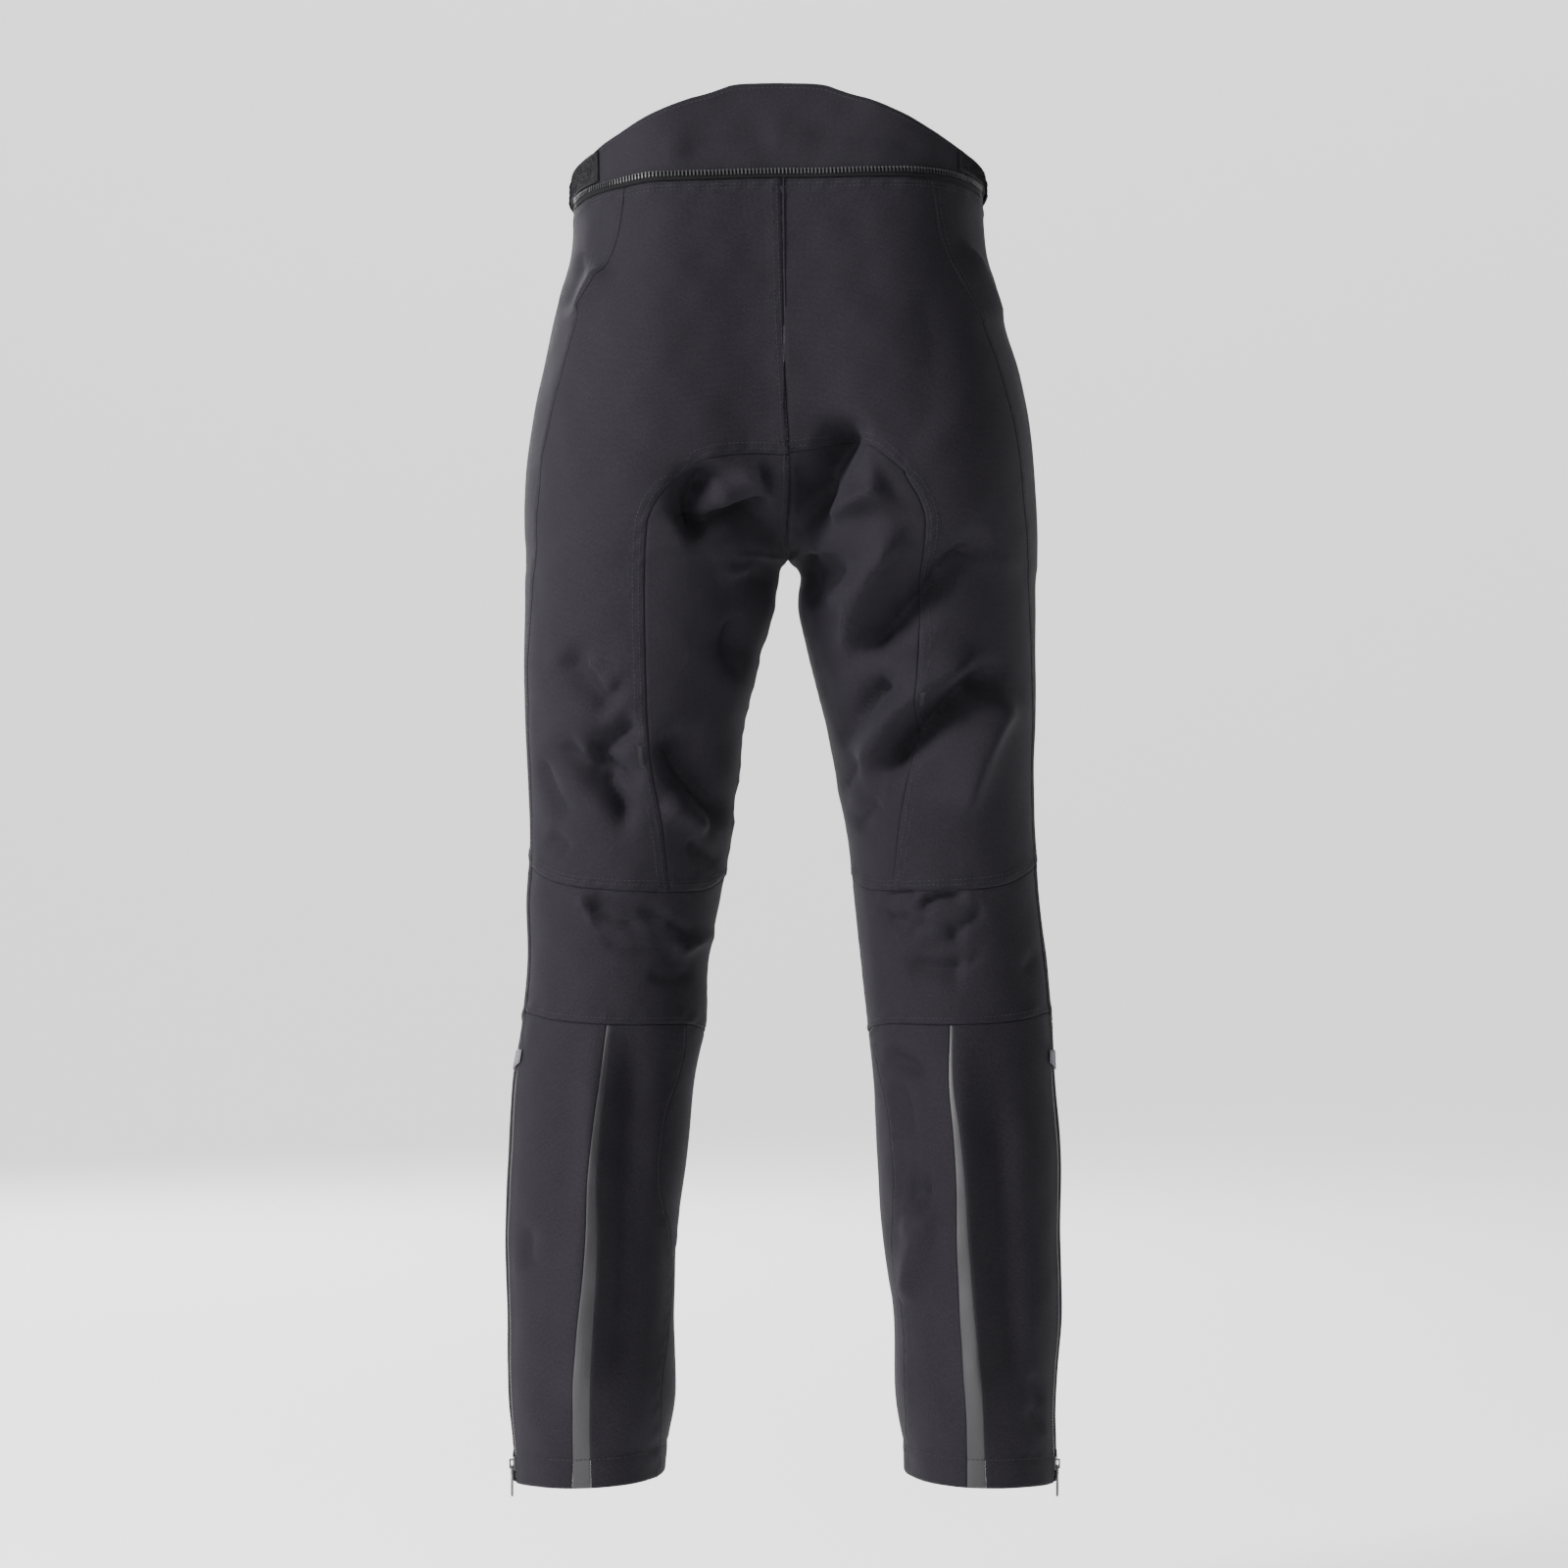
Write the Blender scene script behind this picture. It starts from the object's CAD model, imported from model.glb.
import math
from collections import namedtuple

import bmesh
import bpy
import numpy as np
from mathutils import Matrix, Vector
from mathutils.bvhtree import BVHTree
from mathutils.kdtree import KDTree


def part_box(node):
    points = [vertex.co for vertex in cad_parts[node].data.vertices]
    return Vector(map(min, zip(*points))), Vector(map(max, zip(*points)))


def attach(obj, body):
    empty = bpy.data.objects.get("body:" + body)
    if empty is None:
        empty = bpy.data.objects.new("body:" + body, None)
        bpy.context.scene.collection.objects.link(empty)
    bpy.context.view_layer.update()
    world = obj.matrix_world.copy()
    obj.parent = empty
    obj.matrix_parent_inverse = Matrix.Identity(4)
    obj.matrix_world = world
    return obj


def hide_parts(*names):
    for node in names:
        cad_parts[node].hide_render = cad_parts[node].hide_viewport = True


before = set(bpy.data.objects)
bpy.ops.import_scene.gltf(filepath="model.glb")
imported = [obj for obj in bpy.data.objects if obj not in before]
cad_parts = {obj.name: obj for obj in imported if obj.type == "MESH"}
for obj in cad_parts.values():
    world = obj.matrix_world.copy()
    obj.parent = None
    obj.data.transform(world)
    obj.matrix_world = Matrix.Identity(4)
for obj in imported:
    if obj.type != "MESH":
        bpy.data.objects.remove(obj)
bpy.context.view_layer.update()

# Motorcycle trousers, filled out and hollow. Sizes and tables are in millimetres, meshes in metres.
# The form and its tables are those of the solids: side, turn (0 centre front or inseam, 0.5 outer side,
# 1 centre back or inseam) and height give a point, and rows and columns follow the seams.

mm = 0.001
randomDraw = np.random.default_rng(7)


def table(columns, *rows):
    # rows whose values are read by the names of their columns
    line = namedtuple("line", columns)
    return [line(*values) for values in rows]


sections = table(
    "z outer_l outer_r inner_l inner_r ySide yFront yBack yCentreFront yCentreBack bend crown",
    (95, 165, 156, 4, -4, 4, -108, 119, -108, 118, 0, 0.42),
    (50, 170, 161, 4, -4, 4, -112, 122, -112, 121, 0, 0.42),
    (5, 171, 162, 4, -4, 4, -117, 126, -117, 124, 0, 0.42),
    (-34, 173, 165, 3, -3, 5, -121, 134, -121, 131, 0, 0.42),
    (-66, 182, 173, 2, -2, 6, -125, 141, -125, 137, 0, 0.43),
    (-98, 189, 181, 1, -1, 8, -128, 148, -127, 142, 0, 0.44),
    (-135, 197, 192, -1, 1, 8, -131, 155, -127, 147, 4, 0.45),
    (-170, 204, 199, -3, 3, 8, -132, 159, -122, 148, 10, 0.47),
    (-206, 209, 203, -5, 5, 8, -132, 160, -106, 141, 24, 0.49),
    (-237, 211, 205, -5, 5, 8, -131, 157, -84, 119, 42, 0.50),
    (-260, 211, 206, -4, 4, 7, -129, 152, -57, 88, 58, 0.50),
    (-275, 210, 206, -4, 4, 6, -128, 148, -30, 50, 74, 0.50),
    (-283, 210, 206, -3, 3, 6, -127, 145, 0, 0, 90, 0.50),
    (-290, 210, 206, 2, 9, 6, -126, 141, 0, 0, 90, 0.50),
    (-302, 211, 205, 4, 10, 5, -124, 135, 0, 0, 90, 0.50),
    (-326, 211, 205, 7, 11, 4, -120, 127, -1, -1, 90, 0.50),
    (-372, 212, 205, 20, 22, 2, -115, 114, -2, -2, 90, 0.50),
    (-420, 211, 205, 32, 34, -1, -112, 103, -5, -5, 90, 0.50),
    (-467, 209, 204, 36, 43, -5, -109, 93, -8, -8, 90, 0.50),
    (-514, 208, 206, 43, 52, -9, -106, 82, -12, -12, 90, 0.50),
    (-561, 211, 209, 52, 57, -12, -102, 72, -15, -15, 90, 0.50),
    (-609, 210, 215, 61, 62, -12, -96, 70, -13, -13, 90, 0.50),
    (-658, 214, 219, 63, 67, -7, -88, 76, -6, -6, 90, 0.50),
    (-705, 221, 221, 72, 72, 3, -78, 87, 4, 4, 90, 0.50),
    (-768, 224, 225, 78, 75, 14, -66, 99, 16, 16, 90, 0.50),
    (-830, 226, 224, 86, 79, 22, -57, 106, 24, 24, 90, 0.50),
    (-893, 224, 225, 88, 88, 28, -50, 110, 30, 30, 90, 0.50),
    (-956, 223, 220, 87, 89, 32, -45, 112, 33, 33, 90, 0.50),
    (-1000, 219, 220, 94, 96, 34, -43, 112, 34, 34, 90, 0.50),
    (-1035, 219, 220, 97, 97, 35, -42, 112, 35, 35, 90, 0.50),
)
normalStep = dict(turn=0.004, z=1.0)
form = dict(roundness=0.58, crotchZ=-283.0, centreClear=0.6, centreFade=14.0, crotchFade=45.0)

waist = table(
    "turn left right top",
    (0.0, -25, -25, 7),
    (0.25, -19, -17, 11),
    (0.4, -11, -6, 18),
    (0.5, -4, 5, 29),
    (0.6, 4, 13, 39),
    (0.65, 7, 15, 51),
    (0.7, 10, 15, 64.5),
    (0.75, 11, 14, 76.5),
    (0.85, 12, 13, 86),
    (1.0, 13, 13, 88),
)

sideSeam = table(
    "z turn",
    (15, 0.665),
    (-34, 0.655),
    (-69, 0.64),
    (-95, 0.615),
    (-190, 0.595),
    (-250, 0.585),
    (-370, 0.555),
    (-520, 0.55),
    (-1040, 0.55),
)

insertTop = table(
    "x left right",
    (0, -207, -206),
    (30, -207, -203),
    (55, -210, -200),
    (70, -216, -202),
    (84, -227, -212),
    (95, -231, -222),
    (130, -238, -234),
    (220, -242, -240),
)
insertCorner = -225

legSeam = table(
    "z left right",
    (-225, 83, 95),
    (-243, 99, 106),
    (-260, 107, 111),
    (-305, 110, 108),
    (-405, 109, 105),
    (-447, 106, 100),
    (-494, 98, 93),
    (-550, 92, 87),
    (-610, 86, 78),
    (-662, 80, 71),
    (-690, 82, 75),
    (-733, 95, 84),
    (-785, 99, 89),
    (-837, 91, 88),
    (-885, 91, 95),
    (-950, 98, 97),
    (-1040, 101, 99),
)

strip = table(
    "z left right width",
    (-655, 140, 134, 2.4),
    (-704, 145, 134, 3.0),
    (-743, 149, 138, 4.8),
    (-782, 152, 141, 6.4),
    (-839, 153, 143, 9.0),
    (-917, 158, 148, 12.0),
    (-968, 160, 151, 13.0),
    (-1040, 160, 153, 15.5),
)
stripFreeAbove = -590

levels = table(
    "turn fork crotch kneeTop kneeBottom hem",
    (0.0, -150, -283, -540, -668, -1020),
    (0.25, -175, -290, -520, -676, -1024),
    (0.5, -235, -296, -528, -660, -1026),
    (0.55, -238, -296, -533, -651, -1026),
    (0.65, -238, -294, -546, -655, -1024),
    (0.75, -230, -292, -551, -658, -1023),
    (0.9, -210, -286, -551, -659, -1021),
    (1.0, -207, -283, -540, -668, -1020),
)

# Rows and columns of the lattice, as in the solids
row = dict(top=0, waist=3, fork=12, crotch=18, knee=29, calf=34, hem=49)
column = dict(front=0, band=9, side=10, strip=14, stripEnd=15, seam=18, end=24)
sides = {"left": 1, "right": -1}

# The largest folds, as in the solids, by face and side. Each runs through three points, with x measured
# from the middle plane. A positive depth is a trough.
foldColumns = "x0 z0 x1 z1 x2 z2 width depth"
mainFolds = {
    ("back", "left"): table(
        foldColumns,
        (44, -215, 76, -243, 66, -276, 13, 9), (8, -242, 45, -257, 82, -272, 9, 7),
        (10, -222, 35, -230, 60, -238, 13, -5), (20, -285, 34, -322, 34, -374, 20, 3.5),
        (182, -362, 160, -384, 134, -410, 14, 5), (163, -443, 138, -430, 113, -416, 9, 5),
        (163, -443, 138, -456, 112, -468, 9, 5), (197, -432, 160, -453, 119, -507, 12, 6),
        (100, -424, 70, -462, 42, -500, 14, 9), (99, -480, 80, -489, 58, -503, 9, -4),
        (160, -559, 130, -567, 91, -576, 6, 2.2), (108, -593, 90, -590, 66, -584, 6, 0.8),
        (98, -613, 82, -608, 64, -598, 6, 0.8), (148, -640, 158, -820, 163, -1010, 17, -4),
        (122, -650, 124, -800, 132, -960, 15, 3), (162, -40, 172, -64, 180, -92, 8, 4),
        (144, -54, 154, -74, 165, -95, 8, -4),
    ),
    ("back", "right"): table(
        foldColumns,
        (60, -176, 36, -222, 10, -268, 15, 10), (100, -62, 118, -140, 90, -214, 28, 2.5),
        (84, -232, 60, -240, 30, -256, 11, -6), (10, -282, 26, -296, 52, -300, 12, 6),
        (94, -256, 64, -318, 44, -369, 10, -6), (168, -268, 112, -318, 45, -374, 14, 9),
        (163, -360, 100, -398, 60, -469, 10, -7), (180, -367, 100, -433, 68, -467, 12, 8),
        (95, -382, 60, -408, 44, -437, 9, 5), (184, -388, 156, -440, 140, -502, 18, -6.5),
        (103, -567, 116, -558, 149, -554, 5, 2), (127, -585, 146, -577, 160, -562, 5, 1.8),
        (96, -611, 120, -614, 148, -609, 9, 2), (83, -683, 98, -688, 114, -695, 8, 4),
        (119, -796, 105, -840, 97, -885, 10, -4), (100, -786, 108, -790, 120, -788, 12, 4),
        (138, -640, 146, -820, 158, -1010, 17, -4), (170, -690, 176, -800, 184, -960, 15, 3),
        (143, -34, 160, -64, 176, -98, 9, -4),
    ),
    ("front", "left"): table(
        foldColumns,
        (20, -205, 70, -232, 130, -238, 13, 7), (14, -262, 60, -300, 100, -318, 12, 7),
        (150, -300, 110, -345, 60, -372, 12, 6), (176, -420, 140, -446, 90, -470, 12, 5),
        (90, -540, 130, -548, 175, -536, 10, 5), (100, -668, 140, -680, 190, -670, 11, 6),
        (110, -770, 140, -786, 190, -780, 12, 4),
    ),
    ("front", "right"): table(
        foldColumns,
        (24, -196, 70, -226, 124, -244, 12, 7), (18, -270, 64, -296, 112, -306, 13, 7),
        (160, -330, 116, -366, 66, -386, 13, 6), (176, -440, 136, -458, 84, -492, 11, 5),
        (92, -546, 134, -540, 180, -546, 10, 5), (96, -672, 144, -684, 190, -680, 12, 6),
        (104, -800, 140, -812, 186, -800, 12, 4),
    ),
}
kneeCap = dict(z=-596, halfHeight=78, turn=0.24, halfTurn=0.17, height=9.0)

# Finer creases, only in the visual model
fineFolds = {
    ("back", "left"): table(
        foldColumns,
        (52, -226, 72, -246, 66, -272, 5, 4), (10, -240, 34, -250, 56, -258, 4, 3),
        (24, -290, 38, -298, 50, -296, 6, -3), (30, -330, 42, -350, 34, -384, 7, 3),
        (160, -366, 146, -378, 136, -394, 6, -3), (156, -443, 140, -436, 120, -424, 4, 3),
        (156, -444, 140, -452, 120, -462, 4, 3), (198, -442, 190, -466, 174, -496, 5, 4),
        (150, -456, 134, -476, 122, -498, 5, 3), (172, -520, 180, -512, 190, -506, 7, 3),
        (90, -436, 72, -460, 52, -484, 5, 3), (80, -510, 64, -522, 48, -534, 6, 3),
        (164, -562, 140, -572, 112, -582, 3.2, 2.2), (150, -590, 118, -598, 84, -600, 3.5, 1.6),
        (110, -618, 88, -622, 70, -616, 4, 1.8), (120, -566, 96, -574, 72, -590, 3.5, 2),
        (166, -554, 158, -566, 150, -580, 4, -2), (54, -585, 70, -594, 90, -604, 5, -3),
        (96, -812, 90, -828, 84, -842, 6, -1), (204, -818, 205, -836, 206, -852, 5, 2),
        (90, 30, 40, 40, 0, 42, 9, 1.2),
    ),
    ("back", "right"): table(
        foldColumns,
        (52, -190, 34, -224, 16, -262, 6, 4), (40, -240, 24, -252, 10, -262, 5, 3),
        (12, -290, 20, -306, 22, -324, 5, 4), (30, -318, 44, -312, 60, -304, 7, -3),
        (88, -268, 66, -306, 50, -350, 4, -3), (130, -300, 100, -330, 60, -362, 5, 3),
        (150, -372, 104, -408, 74, -450, 4, -3), (150, -390, 110, -424, 78, -456, 5, 3),
        (88, -388, 68, -402, 52, -420, 4, 3), (62, -444, 54, -456, 50, -472, 5, 3),
        (78, -478, 66, -490, 58, -502, 6, 3), (105, -566, 116, -559, 142, -555, 3.2, 2.2),
        (86, -586, 112, -594, 150, -580, 3.5, 1.8), (100, -604, 128, -612, 166, -596, 4, 1.6),
        (74, -566, 90, -576, 112, -588, 3.2, 1.8), (78, -556, 94, -554, 108, -553, 4, 2.5),
        (80, -572, 92, -574, 104, -573, 4, 2.5), (98, -583, 108, -578, 116, -575, 4, 2.5),
        (192, -618, 198, -610, 205, -602, 4, 1.5), (90, -700, 98, -726, 100, -750, 8, 3),
        (112, -776, 106, -800, 98, -830, 5, -2), (196, -934, 202, -948, 206, -960, 5, 2),
        (196, -960, 202, -972, 208, -982, 5, 2), (10, 50, 60, 46, 120, 38, 9, 1.2),
    ),
    ("front", "left"): table(
        foldColumns,
        (24, -196, 66, -214, 110, -220, 5, 3), (20, -268, 58, -296, 90, -310, 5, 3),
        (60, -120, 100, -112, 150, -90, 9, 3), (140, -312, 108, -344, 74, -362, 5, 3),
        (80, -400, 110, -392, 160, -366, 8, 3), (160, -432, 136, -448, 100, -466, 5, 3),
        (104, -674, 140, -684, 180, -674, 4, 3), (100, -704, 130, -712, 170, -700, 7, 3),
        (116, -870, 150, -880, 196, -868, 8, 3), (120, -960, 150, -952, 190, -964, 8, 2.5),
    ),
    ("front", "right"): table(
        foldColumns,
        (28, -188, 70, -210, 112, -226, 5, 3), (24, -276, 62, -294, 98, -300, 5, 3),
        (56, -100, 98, -96, 146, -74, 9, 3), (148, -340, 114, -368, 80, -380, 5, 3),
        (76, -420, 112, -410, 158, -392, 8, 3), (160, -452, 134, -462, 98, -484, 5, 3),
        (100, -680, 144, -690, 180, -684, 4, 3), (108, -720, 140, -716, 180, -724, 7, 3),
        (112, -900, 150, -890, 190, -902, 8, 3), (120, -976, 150, -984, 186, -972, 8, 2.5),
    ),
}


def throughPoints(values, place):
    # the smooth curve through evenly numbered values
    values = np.asarray(values, float)
    last = len(values) - 1
    place = np.clip(place, 0, last)
    low = np.minimum(place.astype(int), last - 1)
    t = place - low
    ends = np.concatenate([[2 * values[0] - values[1]], values, [2 * values[-1] - values[-2]]])
    a, b, c, d = ends[low], ends[low + 1], ends[low + 2], ends[low + 3]
    return b + 0.5 * t * (c - a + t * (2 * a - 5 * b + 4 * c - d + t * (3 * (b - c) + d - a)))


def tableColumn(table, name):
    return np.array([getattr(line, name) for line in table], float)


def readTable(table, key, name, at):
    keys = tableColumn(table, key)
    order = np.argsort(keys)
    place = np.interp(at, keys[order], np.arange(len(keys), dtype=float))
    return throughPoints(tableColumn(table, name)[order], place)


def ease(t):
    t = np.clip(t, 0, 1)
    return t * t * (3 - 2 * t)


sectionColumns = {name: tableColumn(sections, name) for name in sections[0]._fields}
finePlaces = np.linspace(0, len(sections) - 1, 40 * len(sections))
fineHeights = throughPoints(sectionColumns["z"], finePlaces)


def sectionAt(side, z):
    # what a section is made of, at each height
    place = np.interp(-z, -fineHeights, finePlaces)
    at = {name: throughPoints(values, place) for name, values in sectionColumns.items()}
    bend = np.radians(at["bend"])
    at["cos"], at["sin"] = np.cos(bend), np.sin(bend)
    at["outer"] = at["outer_" + side[0]]
    inner = at["inner_" + side[0]]
    at["crownX"] = inner + at["crown"] * (at["outer"] - inner)
    at["inner"] = inner + form["centreClear"] * at["sin"] ** 2
    return at


def quarterWeights(turn):
    quarter = 4 * np.where(turn > 0.5, 1 - turn, turn)
    inner = quarter < 1
    t = np.where(inner, quarter, quarter - 1)
    return inner, ((1 - t) ** 3, 3 * t * (1 - t) ** 2, 3 * t**2 * (1 - t), t**3)


def formX(at, turn):
    inner, (a, b, c, d) = quarterWeights(turn)
    k = form["roundness"]
    inX, crown, out = at["inner"], at["crownX"], at["outer"]
    innerRun = a * inX + b * (inX + k * at["cos"] * (crown - inX)) + c * (crown - k * (crown - inX)) + d * crown
    outerRun = a * crown + b * (crown + k * (out - crown)) + (c + d) * out
    return np.where(inner, innerRun, outerRun)


def baseForm(side, turn, z):
    # points of one half of the trousers before any fold
    turn, z = np.broadcast_arrays(np.asarray(turn, float), np.asarray(z, float))
    at = sectionAt(side, z)
    behind = turn > 0.5
    k = form["roundness"]
    yFar = np.where(behind, at["yBack"], at["yFront"])
    yEnd = np.where(behind, at["yCentreBack"], at["yCentreFront"])
    yInseam = (at["yCentreBack"] + at["yCentreFront"]) / 2
    yEnd = np.where(z < form["crotchZ"], yInseam, yEnd)
    inner, (a, b, c, d) = quarterWeights(turn)
    innerRun = a * yEnd + b * (yEnd + k * at["sin"] * (yFar - yEnd)) + (c + d) * yFar
    outerRun = (a + b) * yFar + c * (at["ySide"] + k * (yFar - at["ySide"])) + d * at["ySide"]
    y = np.where(inner, innerRun, outerRun)
    return np.stack([sides[side] * formX(at, turn), y, z], axis=-1)


def unit(vectors):
    return vectors / np.linalg.norm(vectors, axis=-1, keepdims=True)


def formNormal(side, turn, z):
    ahead, behind = np.clip(turn + normalStep["turn"], 0, 1), np.clip(turn - normalStep["turn"], 0, 1)
    across = baseForm(side, ahead, z) - baseForm(side, behind, z)
    up = baseForm(side, turn, z + normalStep["z"]) - baseForm(side, turn, z - normalStep["z"])
    return unit(np.cross(across, up) * sides[side])


def turnAt(side, at, x):
    # where on the back of a section its distance from the centre plane is x
    low, high = np.full(np.shape(x), 0.5), np.full(np.shape(x), 1.0)
    for _ in range(18):
        middle = (low + high) / 2
        outside = formX(at, middle) > x
        low, high = np.where(outside, middle, low), np.where(outside, high, middle)
    return (low + high) / 2


def seamTurns(side, z):
    # turns of the named columns at a height
    outer = readTable(sideSeam, "z", "turn", z)
    lowZ = np.minimum(z, insertCorner)
    seamAt = turnAt(side, sectionAt(side, lowZ), readTable(legSeam, "z", side, lowZ))
    at = sectionAt(side, z)
    stripX = readTable(strip, "z", side, z)
    half = readTable(strip, "z", "width", z) / 2
    edges = [turnAt(side, at, stripX + half), turnAt(side, at, stripX - half)]
    free = ease((z - strip[0].z) / (stripFreeAbove - strip[0].z))
    for n, name in enumerate(("strip", "stripEnd")):
        share = (column[name] - column["side"]) / (column["seam"] - column["side"])
        edges[n] = edges[n] * (1 - free) + (outer + (seamAt - outer) * share) * free
    return [np.zeros(z.shape), outer, edges[0], edges[1], seamAt, np.ones(z.shape)]


def forkLine(side, turn):
    # the row through the top of the seat insert
    x = baseForm(side, turn, insertCorner)[..., 0] * sides[side]
    behind = readTable(insertTop, "x", side, np.clip(x, 0, insertTop[-1].x))
    return np.where(turn > 0.5, behind, readTable(levels, "turn", "fork", turn))


def pick(lines, part):
    return np.take_along_axis(lines, np.broadcast_to(part, lines.shape[1:])[None], 0)[0]


def rowHeights(side, rows, turn):
    keys = list(row.values())
    lines = np.stack([
        readTable(waist, "turn", "top", turn),
        readTable(waist, "turn", side, turn),
        forkLine(side, turn),
        *(readTable(levels, "turn", name, turn) for name in ("crotch", "kneeTop", "kneeBottom", "hem")),
    ])
    part = np.clip(np.searchsorted(keys, rows, side="right") - 1, 0, len(keys) - 2)
    share = (rows - np.take(keys, part)) / (np.take(keys, part + 1) - np.take(keys, part))
    part, share = part[:, None], share[:, None]
    nearCentre = (2 * turn - 1) ** 2
    share = share + (part == 2) * (np.sin(share * math.pi / 2) - share) * nearCentre
    share = share + (part == 3) * (np.maximum(share, 0) ** 1.6 - share) * nearCentre
    return pick(lines, part) * (1 - share) + pick(lines, part + 1) * share


def latticeAt(side, rows, cols):
    # turns and heights where rows and columns cross, each row with its own columns
    keys = [column[name] for name in ("front", "side", "strip", "stripEnd", "seam", "end")]
    part = np.clip(np.searchsorted(keys, cols, side="right") - 1, 0, len(keys) - 2)
    share = (cols - np.take(keys, part)) / (np.take(keys, part + 1) - np.take(keys, part))
    turn = cols / column["end"]
    for _ in range(6):
        named = np.array(seamTurns(side, rowHeights(side, rows, turn)))
        turn = pick(named, part) * (1 - share) + pick(named, part + 1) * share
    return turn, rowHeights(side, rows, turn)


# A fold's far side is steeper than its near side, and a crease is sharper still. Its width sways along it
foldShape = dict(near=0.85, far=1.3, tip=0.25, sharpness=1.15, end=0.22, faceFade=0.05, wrap=0.08,
                 large=2.7, fine=2.4, largeCrisp=0.5, fineCrisp=0.8, edgeShare=0.35,
                 sway=0.18, swayRate=5.1, waver=0.1, waverRate=11.7)


def foldRelief(folds, side, turn, points, crisp):
    x, z = np.abs(points[..., 0]), points[..., 2]
    moved = np.zeros(x.shape)
    shape = foldShape
    # a fold of one face runs a little way round the inseam onto the other, so that the two meet
    fade, wrap, tip = shape["faceFade"], shape["wrap"], shape["tip"]
    shown = dict(
        back=np.where(turn > 0.5, turn - 0.5, fade * (1 - turn / wrap)),
        front=np.where(turn < 0.5, 0.5 - turn, fade * (1 - (1 - turn) / wrap)),
    )
    for face in shown:
        for fold in folds[face, side]:
            alongX, alongZ = fold.x2 - fold.x0, fold.z2 - fold.z0
            length = math.hypot(alongX, alongZ)
            alongX, alongZ = alongX / length, alongZ / length
            bow = (fold.z1 - fold.z0) * alongX - (fold.x1 - fold.x0) * alongZ
            t = ((x - fold.x0) * alongX + (z - fold.z0) * alongZ) / length
            off = (z - fold.z0) * alongX - (x - fold.x0) * alongZ - 4 * bow * t * (1 - t)
            swaying = 1 + shape["sway"] * np.sin(shape["swayRate"] * t + fold.x0)
            swaying += shape["waver"] * np.sin(shape["waverRate"] * t + fold.z0)
            u = off / (fold.width * swaying)
            u = u * np.where(u > 0, shape["far"], shape["near"])
            rounded = np.exp(-(u**2))
            sharp = np.exp(-shape["sharpness"] * (np.sqrt(u**2 + tip**2) - tip))
            ends = ease(t / shape["end"]) * ease((1 - t) / shape["end"])
            moved -= fold.depth * (rounded * (1 - crisp) + sharp * crisp) * ends * ease(shown[face] / fade)
    torso = ease((z - form["crotchZ"]) / form["crotchFade"] + 1)
    return moved * (1 - torso * (1 - ease(x / form["centreFade"])))


ripples = dict(count=16, shortest=24.0, longest=95.0, height=0.15)
rippleWaves = [
    (
        unit(randomDraw.normal(size=3)),
        randomDraw.uniform(ripples["shortest"], ripples["longest"]),
        randomDraw.uniform(0, 2 * math.pi),
    )
    for _ in range(ripples["count"])
]


def clothRipples(points):
    # faint unevenness of filled-out cloth
    waves = (np.sin(points @ way * (2 * math.pi / long) + phase) for way, long, phase in rippleWaves)
    return sum(waves) * ripples["height"]


def relief(side, turn, points):
    cap = ((turn - kneeCap["turn"]) / kneeCap["halfTurn"]) ** 2
    cap += ((points[..., 2] - kneeCap["z"]) / kneeCap["halfHeight"]) ** 2
    moved = foldShape["large"] * foldRelief(mainFolds, side, turn, points, foldShape["largeCrisp"])
    moved += foldShape["fine"] * foldRelief(fineFolds, side, turn, points, foldShape["fineCrisp"])
    return moved + kneeCap["height"] * ease(1 - cap) + clothRipples(points)


def surface(side, rows, cols):
    # points and normals in millimetres, for rows that each have their own columns
    rows, cols = np.asarray(rows, float), np.asarray(cols, float)
    turn, z = latticeAt(side, rows, cols)
    points = baseForm(side, turn, z)
    normals = formNormal(side, turn, z)
    inseam = (rows >= row["crotch"])[:, None] & ((cols < 1e-6) | (cols > column["end"] - 1e-6))
    normals[inseam, 1] = 0  # one normal for both sides of the inseam
    normals = unit(normals)
    # folds are shallower where the cloth turns away at the sides, which keeps the outline
    share = 1 - (1 - foldShape["edgeShare"]) * normals[..., 0] ** 4
    return points + normals * (share * relief(side, turn, points))[..., None], normals


def everyRow(rows, cols):
    return np.tile(np.asarray(cols, float), (len(rows), 1))


wholeRows = np.arange(row["hem"] + 1.0)
seamWidths = {
    side: np.linalg.norm(
        np.diff(surface(side, wholeRows, everyRow(wholeRows, (9, 10, 11)))[0], axis=1), axis=-1
    )
    for side in sides
}

# The leg zip's opening in the side seam, below the grey tab
zipOpening = dict(half=4.2, startRow=35.5, fullRows=0.9)


def besideZip(side, rows, cols, way):
    # columns moved off the zip. way is -1 in front of it, 1 behind it
    cols = everyRow(rows, cols)
    opened = zipOpening["half"] * ease((np.asarray(rows) - zipOpening["startRow"]) / zipOpening["fullRows"])
    width = np.interp(rows, wholeRows, seamWidths[side][:, 0 if way < 0 else 1])
    away = (cols - column["side"]) * way
    near = (away > -1e-6) & (away < 1)
    return np.where(near, cols + way * (opened / width)[:, None] * (1 - away), cols)


print("form ready")


def linear(hexColour, alpha=1.0):
    channels = [int(hexColour[n:n + 2], 16) / 255 for n in (1, 3, 5)]
    return (*(c / 12.92 if c < 0.04045 else ((c + 0.055) / 1.055) ** 2.4 for c in channels), alpha)


def addNode(tree, kind, inputs=None, **settings):
    node = tree.nodes.new("ShaderNode" + kind)
    for name, value in settings.items():
        setattr(node, name, value)
    for name, value in (inputs or {}).items():
        if isinstance(value, bpy.types.NodeSocket):
            tree.links.new(value, node.inputs[name])
        else:
            node.inputs[name].default_value = value
    return node


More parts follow.
